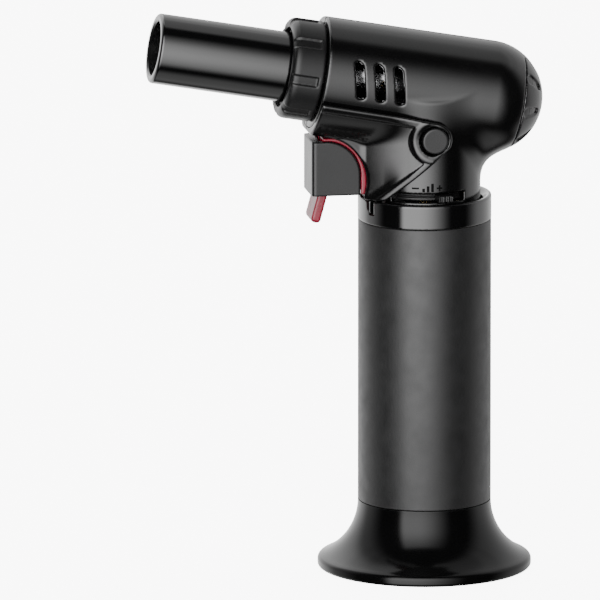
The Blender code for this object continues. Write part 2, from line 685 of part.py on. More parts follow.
def piezo():
    """The piezo igniter, its plunger, the trigger's return spring and the lead to the electrode."""
    body = box("piezo_body", (-9.0, -4.2, 125.3), (6.2, 4.2, 138.0), HANDLE, BLACK_METAL)
    boolean(body, rod("plunger_bore", 2.6, (-12.0, 0, PIEZO_Z), (0.0, 0, PIEZO_Z), HANDLE), "DIFFERENCE")
    plunger = rod("piezo_plunger", 2.2, (-14.6, 0, PIEZO_Z), (-5.0, 0, PIEZO_Z), HANDLE, CERAMIC, segments=20)
    set_origin(plunger, -14.6, 0.0, PIEZO_Z)
    turns = coil((-14.2, 0, PIEZO_Z), (-9.8, 0, PIEZO_Z), 3.1, 4.0, 8)
    wire("trigger_spring", turns, 0.3, HANDLE, STEEL, resolution=1)
    lead = [(4.6, 0, 139.1), (5.2, 3.4, 141.0), (6.2, 6.6, 145.6), (5.4, 4.6, 151.0), (2.6, 0.4, 153.0)]
    wire("ignition_lead", smooth_path(lead), 0.7, HANDLE, RUBBER)


def gas_train():
    """Main valve, its nut, stem and lifting lever, the flow adjuster and the hose to the jet."""
    spigot = [(2.4, 119.6), (2.6, 118.0), (4.2, 117.6), (4.2, 99.4), (1.3, 99.4), (1.3, 119.6)]
    valve = turned("valve_body", spigot, HANDLE, BRASS, 24, ring=True)
    boolean(valve, rod("port", 1.7, (3.0, 0, 114.4), (6.8, 0, 114.4), HANDLE, segments=12), "UNION")
    nut = rod("valve_nut", 6.6, (0, 0, 109.2), (0, 0, 112.0), HANDLE, BRASS, segments=6)
    boolean(nut, rod("nut_bore", 4.5, (0, 0, 108.0), (0, 0, 113.0), HANDLE), "DIFFERENCE")
    stem = [(0.0, 124.2), (0.9, 124.2), (0.9, 122.6), (2.4, 122.6), (2.4, 121.6)]
    stem += [(0.95, 121.6), (0.95, 112.0)]
    turned("valve_stem", stem + [(0.0, 112.0)], HANDLE, STEEL, 16)

    arms = [(-10.2, 118.4), (-9.0, 118.4), (-8.0, 120.0), (2.4, 120.0), (2.4, 121.2), (-6.8, 121.2)]
    arms += arc((LEVER_X, LEVER_Z), 1.8, 0.0, 180.0, 6)
    lever = plate("valve_lever", arms, -4.3, 4.3, HANDLE, STEEL)
    boolean(lever, box("fork", (-3.2, -2.9, 118.0), (4.0, 2.9, 124.0), HANDLE), "DIFFERENCE")
    boolean(lever, box("fork_tip", (-3.4, -1.3, 118.0), (-2.0, 1.3, 124.0), HANDLE), "DIFFERENCE")
    boolean(lever, rod("pin_hole", 1.1, (LEVER_X, -6, LEVER_Z), (LEVER_X, 6, LEVER_Z), HANDLE), "DIFFERENCE")
    set_origin(lever, LEVER_X, 0.0, LEVER_Z)
    rod("lever_pin", 0.8, (LEVER_X, -6.0, LEVER_Z), (LEVER_X, 6.0, LEVER_Z), HANDLE, STEEL, segments=12)
    bracket = box("lever_bracket", (-11.5, -6.4, 109.3), (-7.4, 6.4, 124.9), HANDLE, STEEL)
    boolean(bracket, box("between_posts", (-13.0, -4.9, 110.6), (-6.0, 4.9, 126.0), HANDLE), "DIFFERENCE")
    hole = rod("pin_hole", 1.1, (LEVER_X, -8, LEVER_Z), (LEVER_X, 8, LEVER_Z), HANDLE)
    boolean(bracket, hole, "DIFFERENCE")

    hub = [(6.9, 118.3), (6.9, 116.2), (4.5, 116.2), (4.5, 118.3)]
    adjuster = turned("gas_adjuster", hub, HANDLE, SATIN, 32, ring=True)
    boolean(adjuster, box("arm", (-3.0, -13.9, 116.25), (3.0, -5.8, 118.25), HANDLE), "UNION")
    rim = arc((0.0, 0.0), 15.1, -146.0, -74.0, 12) + arc((0.0, 0.0), 13.4, -74.0, -146.0, 12)
    boolean(adjuster, slab("rim", rim, 116.2, 118.3, HANDLE), "UNION")
    boolean(adjuster, box("tab", (-2.15, -19.4, 116.2), (2.15, -14.0, 118.3), HANDLE), "UNION")
    for x in (-1.1, 0.0, 1.1):
        gap = box("rib_gap", (x - 0.2, -20.0, 115.0), (x + 0.2, -19.0, 119.0), HANDLE)
        boolean(adjuster, gap, "DIFFERENCE")
    adjuster.rotation_euler = (0.0, 0.0, ADJUSTER_TURN)
    for step in adjuster.modifiers:
        if step.type == "BOOLEAN":
            step.object.rotation_euler = (0.0, 0.0, ADJUSTER_TURN)

    route = [(7.2, 0, 114.4), (8.2, 0, 114.5), (9.1, 0, 116.2), (8.8, 0, 121.0), (8.8, 0, 136.0)]
    route += [(11.8, 0, 141.4), (12.6, 0, 144.4), (11.2, 0, 146.2), (9.4, 0, 146.6), (8.3, 0, 146.8)]
    wire("gas_hose", smooth_path(route, 4), 1.4, HANDLE, HOSE)


def lock_button():
    """The round flame-lock button on the left of the head, with its return spring."""
    button = rod("lock_button", BUTTON_RADIUS, (0, -18.9, BUTTON_Z), (0, -13.0, BUTTON_Z), HANDLE, BUTTON)
    boolean(button, rod("stem", 2.0, (0, -14.0, BUTTON_Z), (0, -7.5, BUTTON_Z), HANDLE, segments=16), "UNION")
    set_origin(button, 0.0, -18.9, BUTTON_Z)
    turns = coil((0, -12.4, BUTTON_Z), (0, -4.9, BUTTON_Z), 2.9, 5.0, 8)
    wire("lock_spring", turns, 0.3, HANDLE, STEEL, resolution=1)


def shell_screws():
    """Three screws that draw the right half of the head onto the left half."""
    for index, (x, z) in enumerate(BOSSES, 1):
        profile = [(0.0, 1.5), (1.5, 1.5), (1.9, 1.1), (1.9, 0.2), (1.0, 0.2), (1.0, -15.0), (0.0, -15.5)]
        screw = turned(f"shell_screw_{index}", profile, HANDLE, STEEL, 16)
        screw.location = Vector((x, 8.5, z)) * MM
        screw.rotation_euler = (-math.pi / 2, 0.0, 0.0)


base_and_grip()
collar()
head_shells()
side_panels()
rear_cap()
front_ring()
burner()
trigger()
safety_lever()
piezo()
gas_train()
lock_button()
shell_screws()
bpy.context.view_layer.update()
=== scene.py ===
"""The looks of the butane torch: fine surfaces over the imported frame, materials, light and camera.

Lengths are in millimetres until MM turns them into metres. The handle stands along Z at x = HANDLE_X, and
the barrel axis leaves it tilted upwards, towards -X.
"""

import math

import bmesh
import bpy
import numpy as np
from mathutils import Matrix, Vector


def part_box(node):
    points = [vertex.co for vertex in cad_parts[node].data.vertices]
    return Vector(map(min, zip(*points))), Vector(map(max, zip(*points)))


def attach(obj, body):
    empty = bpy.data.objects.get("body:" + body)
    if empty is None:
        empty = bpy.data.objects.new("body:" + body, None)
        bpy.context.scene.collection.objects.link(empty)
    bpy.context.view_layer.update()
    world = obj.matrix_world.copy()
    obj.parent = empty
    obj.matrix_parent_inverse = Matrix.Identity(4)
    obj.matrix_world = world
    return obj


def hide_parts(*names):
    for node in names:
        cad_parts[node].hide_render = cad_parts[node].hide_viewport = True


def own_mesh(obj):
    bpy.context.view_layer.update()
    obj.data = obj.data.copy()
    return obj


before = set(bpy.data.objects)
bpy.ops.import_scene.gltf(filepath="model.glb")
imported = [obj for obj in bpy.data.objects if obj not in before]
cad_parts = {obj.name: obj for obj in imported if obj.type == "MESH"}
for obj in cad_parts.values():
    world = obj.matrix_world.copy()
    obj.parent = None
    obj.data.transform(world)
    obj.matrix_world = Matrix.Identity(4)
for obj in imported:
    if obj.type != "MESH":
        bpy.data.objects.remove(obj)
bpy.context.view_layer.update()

MM = 0.001
TILT = math.radians(10.3)
COS, SIN = math.cos(TILT), math.sin(TILT)
AXIS_HEIGHT = 148.3

# Sizes along the barrel axis are reaches forward from the handle's axis.
HEAD_RADIUS, WALL = 17.1, 1.7
DOME_CENTRE, CAP_SEAM, TUBE_END, SHELL_FRONT = -19.3, -28.0, 31.5, 34.0
NECK_RADIUS, NECK_TOP, HEAD_LOW = 16.95, 146.0, 110.4
HALF_GAP = 0.07
SLOT_REACHES, SLOT_HALF, SLOT_RADIUS = (23.4, 17.2, 11.1), 4.5, 1.4
SLOT_TURN = math.radians(7.0)
BOSS_RADIUS, BOSS_BELOW_SKIN = 2.9, 0.6
SCREW_HOLE_RADIUS, SCREW_SEAT, PILOT_RADIUS = 2.25, 8.3, 1.25
WINDOW_LOW, WINDOW_HIGH = 115.9, 118.7
WINDOW_TURN, WINDOW_HALF = -96.2, 11.9

PANEL_LOW, PANEL_GAP, PANEL_WALL = 115.9, 0.1, 1.0
TOP_BORDER, SIDE_BORDER, BUTTON_BORDER = 2.1, 1.7, 7.3
FIELD_DEPTH = 0.4
SWEEP_X = -8.0
CHEEK_HALF, CHEEK_FRONT, CHEEK_ROUND = 9.0, -30.0, 8.2

RING_REAR, RING_FRONT, RING_RADIUS = 34.4, 44.4, 15.4
RING_GRIPS, CAP_NOTCHES = 8, 8
TIP_REACH, BARREL_RADIUS = 84.7, 10.7
GRIP_RADIUS, GRIP_BORE, GRIP_LOW, GRIP_TOP = 20.25, 18.45, 21.0, 108.1
BASE_TOP, FOOT_RADIUS = 20.9, 32.5
COLLAR_RADIUS, COLLAR_BOTTOM, COLLAR_TOP = 20.3, 108.15, 115.6

ARC_X, ARC_Z, ARC_RADIUS = -33.5, 121.5, 14.0
BUTTON_Z, BUTTON_RADIUS, BUTTON_GAP = 135.3, 4.0, 0.25
BUTTON_FACE = -18.9
SAFETY_X, SAFETY_Z, PIN_RADIUS = -30.5, 130.5, 1.2
HANDLE_X = sum(corner.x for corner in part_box("grip_sleeve")) / 2 / MM


# ---------------------------------------------------------------- shapes


def smooth_max(a, b, k):
    """The larger of two distances, with the edge between them rounded over about k."""
    h = np.maximum(k - np.abs(a - b), 0.0) / k
    return np.maximum(a, b) + h * h * k / 4


def smooth_min(a, b, k):
    """The smaller of two distances, with the corner between them filled over about k."""
    return -smooth_max(-a, -b, k)


def step(t):
    """A smooth step from 0 to 1."""
    t = np.clip(t, 0.0, 1.0)
    return t * t * (3 - 2 * t)


def barrel_frame(x, y, z):
    """Reach forward along the barrel axis, height above it, and distance from it."""
    dz = z - AXIS_HEIGHT
    reach = -x * COS + dz * SIN
    up = x * SIN + dz * COS
    return reach, up, np.hypot(up, y)


def below_axis(x, z):
    """How far a point in the XZ plane lies below the barrel axis."""
    return -x * SIN - (z - AXIS_HEIGHT) * COS


def round_corner(x, z, centre_x, centre_z, radius):
    """Distance past an upper rear corner in the XZ plane, rounded about a centre."""
    return np.hypot(np.maximum(x - centre_x, 0.0), np.maximum(z - centre_z, 0.0)) - radius


def across_grips(y, up, count, phase, radius):
    """Distance round the barrel axis from the middle of the nearest of several even grips."""
    turn = np.arctan2(y, up) + math.radians(phase)
    pitch = math.radians(360.0 / count)
    return radius * (np.mod(turn + pitch / 2, pitch) - pitch / 2)


def distance_box(values, halves):
    """Signed distance to a box, from coordinates about its middle."""
    gaps = [np.abs(v) - h for v, h in zip(values, halves)]
    outside = np.sqrt(sum(np.maximum(g, 0.0) ** 2 for g in gaps))
    inside = np.minimum(np.maximum.reduce(gaps), 0.0)
    return outside + inside


def box_at(x, y, z, middle, halves):
    """Signed distance to an upright box, from its middle and half its size along each axis."""
    return distance_box((x - middle[0], y - middle[1], z - middle[2]), halves)


def grid_crossings(field, grid):
    """Which cells of a grid the zero of a field cuts, and the mean point of each cell's cuts."""
    shape = [n - 1 for n in field.shape]
    total = np.zeros(shape)
    place = np.zeros((3, *shape))
    corners = [(i, j, k) for i in (0, 1) for j in (0, 1) for k in (0, 1)]

    def view(values, offset):
        return values[tuple(slice(o, o + n) for o, n in zip(offset, shape))]

    for a in corners:
        for axis in range(3):
            if a[axis]:
                continue
            b = tuple(v + (i == axis) for i, v in enumerate(a))
            fa, fb = view(field, a), view(field, b)
            cross = (fa < 0) != (fb < 0)
            t = np.where(cross, fa / np.where(fa == fb, 1.0, fa - fb), 0.0)
            for i in range(3):
                ga, gb = view(grid[i], a), view(grid[i], b)
                place[i] += np.where(cross, ga + t * (gb - ga), 0.0)
            total += cross
    used = total > 0
    points = np.stack([place[i][used] / total[used] for i in range(3)], axis=1)
    return used, points


def crossing_quads(inside, used):
    """Faces between the points of four cells, one for each grid edge that passes through the surface."""
    index = np.full(used.shape, -1)
    index[used] = np.arange(used.sum())
    faces = []
    for axis in range(3):
        b, c = [i for i in range(3) if i != axis]
        cut = [slice(1, -1)] * 3
        cut[axis] = slice(None, -1)
        here = inside[tuple(cut)]
        cut[axis] = slice(1, None)
        there = inside[tuple(cut)]
        for flip, chosen in ((False, here & ~there), (True, ~here & there)):
            where = np.argwhere(chosen)
            where[:, b] += 1
            where[:, c] += 1
            quad = []
            for db, dc in ((-1, -1), (0, -1), (0, 0), (-1, 0)):
                cell_at = where.copy()
                cell_at[:, b] += db
                cell_at[:, c] += dc
                quad.append(index[cell_at[:, 0], cell_at[:, 1], cell_at[:, 2]])
            quad = np.stack(quad, axis=1)
            faces.append(quad[:, ::-1] if flip != (axis == 1) else quad)
    return np.concatenate(faces)


def drawn_on(points, distance, cell):
    """Points moved along the slope of a distance function, to where it is zero."""
    rounds, small, least_slope = 3, 0.02, 0.25
    for _ in range(rounds):
        slopes = []
        for shift in small * np.eye(3):
            rise = distance(*(points + shift).T) - distance(*(points - shift).T)
            slopes.append(rise / (2 * small))
        slope = np.stack(slopes, axis=1)
        size = np.maximum((slope**2).sum(axis=1), least_slope)
        move = -(distance(*points.T) / size)[:, None] * slope
        length = np.maximum(np.linalg.norm(move, axis=1), 1e-9)
        points = points + move * np.minimum(1.0, 0.5 * cell / length)[:, None]
    return points


def surface(name, distance, low, high, cell):
    """A mesh of the surface where a distance function is zero, sampled on a grid and drawn onto it."""
    axes = [np.arange(a, b + cell, cell) for a, b in zip(low, high)]
    grid = np.meshgrid(*axes, indexing="ij")
    field = distance(*grid)
    used, points = grid_crossings(field, grid)
    faces = crossing_quads(field < 0, used)
    points = drawn_on(points, distance, cell)
    points[:, 0] += HANDLE_X
    mesh = bpy.data.meshes.new(name)
    mesh.from_pydata((points * MM).tolist(), [], faces.tolist())
    mesh.validate()
    mesh.shade_smooth()
    return link(name, mesh)


def link(name, mesh):
    """Put a mesh into the scene."""
    obj = bpy.data.objects.new(name, mesh)
    bpy.context.scene.collection.objects.link(obj)
    return obj


def lathe(name, profile, steps=128, barrel=False):
    """A closed (radius, height) profile turned about the handle, or about the barrel axis."""
    sharp_edge = math.radians(30.0)
    count = len(profile)
    verts, faces = [], []
    for i in range(steps):
        angle = 2 * math.pi * i / steps
        for radius, height in profile:
            a, b = radius * math.cos(angle), radius * math.sin(angle)
            if barrel:
                verts.append((-height * COS + a * SIN, b, AXIS_HEIGHT + height * SIN + a * COS))
            else:
                verts.append((a, b, height))
    for i in range(steps):
        j = (i + 1) % steps
        for k in range(count):
            m = (k + 1) % count
            faces.append((i * count + k, i * count + m, j * count + m, j * count + k))
    mesh = bpy.data.meshes.new(name)
    mesh.from_pydata([((x + HANDLE_X) * MM, y * MM, z * MM) for x, y, z in verts], [], faces)
    outward(mesh)
    mesh.shade_smooth()
    mesh.set_sharp_from_angle(angle=sharp_edge)
    return link(name, mesh)


def outward(mesh):
    """Turn all faces of a closed mesh outwards."""
    bm = bmesh.new()
    bm.from_mesh(mesh)
    bmesh.ops.recalc_face_normals(bm, faces=bm.faces)
    bm.to_mesh(mesh)
    bm.free()


def arc(centre, radius, first, last, count):
    """Points on an arc of a circle, with angles in degrees."""
    points = []
    for i in range(count + 1):
        angle = math.radians(first + (last - first) * i / count)
        points.append((centre[0] + radius * math.cos(angle), centre[1] + radius * math.sin(angle)))
    return points


# ---------------------------------------------------------------- head


def domed_tube(reach, radial, radius):
    """Distance to a tube along the barrel axis that ends in a dome at the rear."""
    return np.sqrt(radial**2 + np.minimum(reach - DOME_CENTRE, 0.0) ** 2) - radius


def head_outer(x, y, z):
    """The outside of the head: tube, dome and neck, with a fillet where the dome meets the neck's back."""
    reach, _, radial = barrel_frame(x, y, z)
    dome = domed_tube(reach, radial, HEAD_RADIUS)
    ring = np.hypot(x, y)
    neck = smooth_max(ring - NECK_RADIUS, z - NECK_TOP, 0.5)
    behind = np.clip(x / np.maximum(ring, 1e-6), 0.0, 1.0)
    return smooth_min(dome, neck, 3.0 + 6.0 * behind**3)


def head_inner(x, y, z):
    """The inside of the head's wall."""
    reach, _, radial = barrel_frame(x, y, z)
    tube = np.maximum(domed_tube(reach, radial, HEAD_RADIUS - WALL), reach - TUBE_END)
    neck = np.maximum(np.hypot(x, y) - (NECK_RADIUS - WALL), z - NECK_TOP)
    return np.minimum(tube, neck)


def air_slots(x, y, z):
    """Three round-ended slots on either side of the head, which stay upright as it tilts."""
    reach, up, radial = barrel_frame(x, y, z)
    along = HEAD_RADIUS * (np.arctan2(up, np.abs(y)) - SLOT_TURN)
    beyond = np.maximum(np.abs(along) - SLOT_HALF, 0.0)
    slots = [np.hypot(reach - at - 0.2 * along, beyond) - SLOT_RADIUS for at in SLOT_REACHES]
    return np.maximum(np.minimum.reduce(slots), 11.0 - radial)


def screw_points():
    """Where the three shell screws lie in the XZ plane."""
    points = []
    for index in (1, 2, 3):
        low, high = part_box(f"shell_screw_{index}")
        middle = (low + high) / 2 / MM
        points.append((middle.x - HANDLE_X, middle.z))
    return points


def leftward(x):
    """One on the trigger's side of the button and zero on the other."""
    return step((1.5 - x) / 2.5)


def button_hole(x, z):
    """Distance inside the hole around the button, which is wider on the trigger's side."""
    return BUTTON_RADIUS + BUTTON_GAP + 0.5 * leftward(x) - np.hypot(x, z - BUTTON_Z)


def lever_window(x, y, z):
    """The slit in the neck through which the flow lever's tab stands out."""
    ring = np.hypot(x, y)
    turn = np.degrees(np.arctan2(y, x)) - WINDOW_TURN
    middle, half = (WINDOW_LOW + WINDOW_HIGH) / 2, (WINDOW_HIGH - WINDOW_LOW) / 2
    slit = distance_box((ring * np.radians(turn), z - middle), (WINDOW_HALF, half))
    return np.maximum(slit, 12.5 - ring)


def head_half(side):
    """One half of the head as a distance function. The side is -1 for the left and 1 for the right."""
    screws = screw_points()

    def distance(x, y, z):
        reach, _, radial = barrel_frame(x, y, z)
        outer = head_outer(x, y, z)
        body = smooth_max(outer, reach - SHELL_FRONT, 0.7)
        body = np.maximum(body, CAP_SEAM - reach)
        body = np.maximum(body, HEAD_LOW - z)
        shell = np.maximum(body, -head_inner(x, y, z))
        for screw_x, screw_z in screws:
            from_screw = np.hypot(x - screw_x, z - screw_z)
            boss = np.maximum(from_screw - BOSS_RADIUS, outer + BOSS_BELOW_SKIN)
            shell = np.minimum(shell, boss)
            if side > 0:
                hole = np.maximum(from_screw - SCREW_HOLE_RADIUS, SCREW_SEAT - y)
                shell = smooth_max(shell, -hole, 0.4)
            pilot = from_screw - PILOT_RADIUS
            if side < 0:
                pilot = np.maximum(pilot, outer + WALL)
            shell = np.maximum(shell, -pilot)
        barrel_seat = np.where(reach > 29.5, 11.0, -1.0)
        shell = np.maximum(shell, barrel_seat - radial)
        shell = smooth_max(shell, -air_slots(x, y, z), 0.45)
        trigger_way = box_at(x, y, z, (-15.0, 0.0, 124.2), (6.0, 8.5, 8.3))
        shell = np.maximum(shell, -trigger_way)
        if side < 0:
            shell = smooth_max(shell, -lever_window(x, y, z), 0.4)
            shell = smooth_max(shell, button_hole(x, z), 0.3)
        return np.maximum(shell, HALF_GAP - side * y)

    return distance


# ---------------------------------------------------------------- side panels


def panel_edges(x, z):
    """Distances past the panel's top edge and diagonal edge, from its button, and past its whole outline."""
    end, short = 5.5, 5.05
    up_turn, down_turn = math.radians(79.0), math.radians(-48.9)
    lip_drop, lip_rear = 18.6, -33.0
    up_x, up_z = math.cos(up_turn), math.sin(up_turn)
    down_x, down_z = math.cos(down_turn), math.sin(down_turn)
    rise = z - BUTTON_Z
    top = x * up_x + rise * up_z - end
    diagonal = x * down_x + rise * down_z - short
    ring = np.hypot(x, rise)
    in_corner = (x * up_z - rise * up_x > 0) & (rise * down_x - x * down_z > 0)
    outline = np.maximum(np.maximum(top, diagonal), np.where(in_corner, ring - end, -99.0))
    reach = -x * COS + (z - AXIS_HEIGHT) * SIN
    front = reach - (SHELL_FRONT - 0.15)
    under_lip = np.minimum(below_axis(x, z) - lip_drop, lip_rear - x)
    bow = ARC_RADIUS - np.hypot(x - ARC_X, z - ARC_Z)
    outline = smooth_max(smooth_max(outline, front, 0.5), np.maximum(PANEL_LOW - z, under_lip), 0.8)
    outline = smooth_max(outline, bow, 0.8)
    return top, diagonal, ring, outline


def panel_width(x, z):
    """Half the width of the trigger housing, smooth across barrel, neck and cheeks."""
    around_barrel = np.sqrt(np.maximum(0.0, 20.5**2 - below_axis(x, z) ** 2)) - 1.6
    around_neck = np.sqrt(np.maximum(0.0, NECK_RADIUS**2 - np.maximum(x, SWEEP_X) ** 2)) + 1.5
    ahead = np.maximum(SWEEP_X - x, 0.0)
    around_neck = around_neck - 0.5 * ahead - 0.0067 * ahead**2
    nose = np.sqrt(np.maximum(0.05, 1.0 - ((CHEEK_FRONT - x) / CHEEK_ROUND) ** 2))
    cheek = CHEEK_HALF * np.where(x < CHEEK_FRONT, nose, 1.0)
    return smooth_max(smooth_max(around_barrel, around_neck, 4.0), cheek, 0.8)


def panel_hollow(x, z):
    """How far the field sinks below the sweep towards its lowest corner."""
    return 0.005 * step((-9.0 - x) / 6.0) * np.clip(131.0 - z, 0.0, 12.0) ** 2


def panel(side):
    """One side panel as a distance function: a raised border, a sunken field and a ridge by the button."""
    slant = 0.85

    def distance(x, y, z):
        top, diagonal, ring, outline = panel_edges(x, z)
        width = panel_width(x, z)
        hollow = panel_hollow(x, z)
        depth = np.minimum(np.minimum(-top - TOP_BORDER, -diagonal - SIDE_BORDER), ring - BUTTON_BORDER)
        skin = width - FIELD_DEPTH * step(depth / 0.7) - hollow * step(depth / 2.5) + 0.15
        if side < 0:
            ridge = np.clip(1.0 - (ring - 6.3) ** 2, 0.0, 1.0)
            skin = skin + 0.3 * leftward(x) * ridge
        sideways = side * y
        body = smooth_max(outline, (sideways - skin) * slant, 0.9)
        cavity = np.maximum((sideways - (width - hollow - PANEL_WALL)) * slant, -34.3 - x)
        body = np.maximum(body, -cavity)
        body = np.maximum(body, HEAD_RADIUS + PANEL_GAP - np.hypot(below_axis(x, z), y))
        body = np.maximum(body, NECK_RADIUS + PANEL_GAP - np.hypot(x, y))
        if side < 0:
            body = smooth_max(body, button_hole(x, z), 0.3)
        return np.maximum(body, HALF_GAP - sideways)

    return distance


# ---------------------------------------------------------------- rings, cap and trigger


def air_ring(x, y, z):
    """The ring in front of the head, with a rounded front edge and eight sunken grips."""
    phase, grip_half, grip_depth, grip_rear = 2.8, 1.75, 0.6, 35.6
    bore, front_bore, bore_step = 11.05, 12.2, 42.4
    reach, up, radial = barrel_frame(x, y, z)
    across = across_grips(y, up, RING_GRIPS, phase, RING_RADIUS)
    sunk = grip_depth * step((grip_half - np.abs(across)) / 0.5) * step((reach - grip_rear) / 0.8)
    body = smooth_max(radial - (RING_RADIUS - sunk), reach - RING_FRONT, 2.6)
    body = smooth_max(body, RING_REAR - reach, 0.6)
    return smooth_max(body, np.where(reach > bore_step, front_bore, bore) - radial, 0.5)


def rear_cap(x, y, z):
    """The cap that ends the dome, with eight notches around its rim and a plug inside."""
    phase, notch_ring, notch_radius, notch_half, notch_depth = 4.0, 12.0, 1.3, 1.3, 0.6
    plug_radius, plug_front, plug_rear = 11.8, -25.5, -31.0
    reach, up, radial = barrel_frame(x, y, z)
    ball = np.sqrt(radial**2 + (reach - DOME_CENTRE) ** 2) - HEAD_RADIUS
    skin = smooth_max(ball, reach - (CAP_SEAM - 0.25), 0.4)
    across = across_grips(y, up, CAP_NOTCHES, phase, notch_ring)
    beyond = np.abs(reach - (CAP_SEAM - 3.2)) - notch_half
    notch = np.maximum(np.hypot(across, np.maximum(beyond, 0.0)) - notch_radius, -(ball + notch_depth))
    skin = smooth_max(skin, -notch, 0.5)
    plug = np.maximum(np.maximum(radial - plug_radius, reach - plug_front), plug_rear - reach)
    return np.minimum(skin, plug)


def collar(x, y, z):
    """The glossy ring above the grip, with an open chamfered top and two notches."""
    funnel_low, funnel_radius, funnel_slope = 114.0, 17.7, 0.85
    seat_top, seat_radius = 109.4, 18.4
    notch_turn, notch_reach, notch_height = math.radians(27.0), 19.0, 115.0
    ring = np.hypot(x, y)
    body = smooth_max(smooth_max(ring - COLLAR_RADIUS, z - COLLAR_TOP, 0.7), COLLAR_BOTTOM - z, 0.3)
    funnel = funnel_radius + np.clip(z - funnel_low, 0.0, 2.0) * funnel_slope
    bore = np.where(z < seat_top, seat_radius, funnel)
    body = smooth_max(body, bore - ring, 0.4)
    for turn in (-notch_turn, notch_turn):
        across = y * math.cos(turn) - x * math.sin(turn)
        along = -(x * math.cos(turn) + y * math.sin(turn))
        notch = distance_box((across, z - notch_height, along - notch_reach), (0.95, 3.4, 3.0))
        body = smooth_max(body, -notch, 0.35)
    return body


def trigger(x, y, z):
    """The trigger: a channel with a round rear corner and chamfered front edges, and its stem and pusher."""
    front, rear, low, top, half, radius = -36.0, -21.2, 117.2, 133.9, 7.9, 10.5
    bevel, diagonal = 0.7, 0.7071
    corner = round_corner(x, z, rear - radius, top - radius, radius)
    outline = np.maximum(np.maximum(corner, front - x), low - z)
    chamfer = (np.abs(y) - half + front - x + bevel) * diagonal
    shape = smooth_max(smooth_max(outline, np.abs(y) - half, 0.5), chamfer, 0.5)
    pocket = box_at(x, y, z, (-18.2, 0.0, 125.0), (15.0, 6.2, 15.0))
    shape = smooth_max(shape, -pocket, 0.3)
    pin_seat = np.maximum(np.hypot(x - SAFETY_X, z - SAFETY_Z) - PIN_RADIUS, np.abs(y) - 7.1)
    shape = np.maximum(shape, -pin_seat)
    stem = box_at(x, y, z, (-24.8, 0.0, 124.6), (8.8, 1.2, 3.2))
    pusher = box_at(x, y, z, (-16.65, 0.0, 125.55), (1.65, 4.5, 6.05))
    return np.minimum(shape, np.minimum(stem, pusher))


def safety_lever(x, y, z):
    """The red lever: a body in the trigger, flanges that cover the gap behind it, and a tongue below."""
    slab_radius, slab_front, slab_top = 14.3, -32.6, ARC_Z + 13.45
    body_low, body_rear, body_half = 118.4, -20.1, 5.6
    flange_low, flange_middle, flange_half = 117.4, 6.25, 1.35
    root_x, root_z, lean = -31.5, 120.0, math.radians(15.3)
    tongue_thick, tongue_half, tongue_length = 1.5, 5.4, 12.0
    slot_half, slot_low = 1.6, 119.9

    outer = np.hypot(x - ARC_X, z - ARC_Z) - slab_radius
    slab = np.maximum(np.maximum(outer, z - slab_top), slab_front - x)
    body = np.maximum(slab, np.maximum(body_low - z, x - body_rear))
    body = smooth_max(body, np.abs(y) - body_half, 0.5)
    trigger_corner = round_corner(x, z, -31.7, 123.4, 10.8)
    flange = smooth_max(np.maximum(slab, flange_low - z), -trigger_corner, 0.3)
    flange = smooth_max(flange, np.abs(np.abs(y) - flange_middle) - flange_half, 0.4)
    body = np.minimum(body, flange)

    along = (x - root_x) * -math.sin(lean) - (z - root_z) * math.cos(lean)
    across = (x - root_x) * math.cos(lean) - (z - root_z) * math.sin(lean)
    tongue = smooth_max(np.abs(across) - tongue_thick, np.abs(y) - tongue_half, 0.9)
    tongue = smooth_max(smooth_max(tongue, along - tongue_length, 1.6), -along, 0.3)
    body = smooth_min(body, tongue, 0.8)
    slot = np.maximum(np.abs(y) - slot_half, slot_low - z)
    body = smooth_max(body, -slot, 0.3)
    return np.maximum(body, PIN_RADIUS - np.hypot(x - SAFETY_X, z - SAFETY_Z))


def lock_button(x, y, z):
    """The round button, with a flat face, a soft edge and a thinner stem behind."""
    back, stem_radius, stem_start, stem_end = -13.0, 2.0, -14.0, -7.5
    ring = np.hypot(x, z - BUTTON_Z)
    head = smooth_max(ring - BUTTON_RADIUS, np.maximum(BUTTON_FACE - y, y - back), 0.6)
    stem = np.maximum(ring - stem_radius, np.maximum(stem_start - y, y - stem_end))
    return np.minimum(head, stem)


def gas_adjuster(x, y, z):
    """The flow lever: a hub, an arm, a grooved rim that fills the window, and a ribbed tab."""
    lever_turn, middle, half_height = math.radians(9.6), 117.25, 1.05
    hub_inner, hub_outer = 4.5, 6.9
    arm_half, arm_start, arm_end = 3.0, 5.8, 13.9
    rim_inner, rim_outer, rim_turn, rim_half = 13.4, 15.1, 15.0, 41.0
    groove_depth, groove_middle, groove_half = 0.5, 117.4, 0.45
    tab_half, tab_start, tab_end = 2.15, 14.0, 19.15
    rib_depth, rib_half, rib_width = 0.28, 2.1, 0.72

    u = x * math.cos(lever_turn) + y * math.sin(lever_turn)
    v = -x * math.sin(lever_turn) + y * math.cos(lever_turn)
    ring = np.hypot(u, v)
    flat = np.abs(z - middle) - half_height
    hub = np.maximum(ring - hub_outer, hub_inner - ring)
    arm = np.maximum(np.abs(u) - arm_half, np.maximum(v + arm_start, -arm_end - v))
    angle = np.degrees(np.arctan2(v, u)) + 90.0
    groove = groove_depth * step(1.0 - np.abs(z - groove_middle) / groove_half)
    past_end = ring * np.radians(np.abs(angle + rim_turn) - rim_half)
    rim = np.maximum(np.maximum(ring - rim_outer + groove, rim_inner - ring), past_end)
    rib = rib_depth * np.cos(np.clip(u, -rib_half, rib_half) / rib_width * math.pi)
    tab = np.maximum(np.abs(u) - tab_half, np.maximum(v + tab_start, -tab_end + rib - v))
    tab = smooth_max(tab, flat, 0.5)
    return np.minimum(smooth_max(np.minimum(np.minimum(hub, arm), rim), flat, 0.3), tab)


# ---------------------------------------------------------------- materials


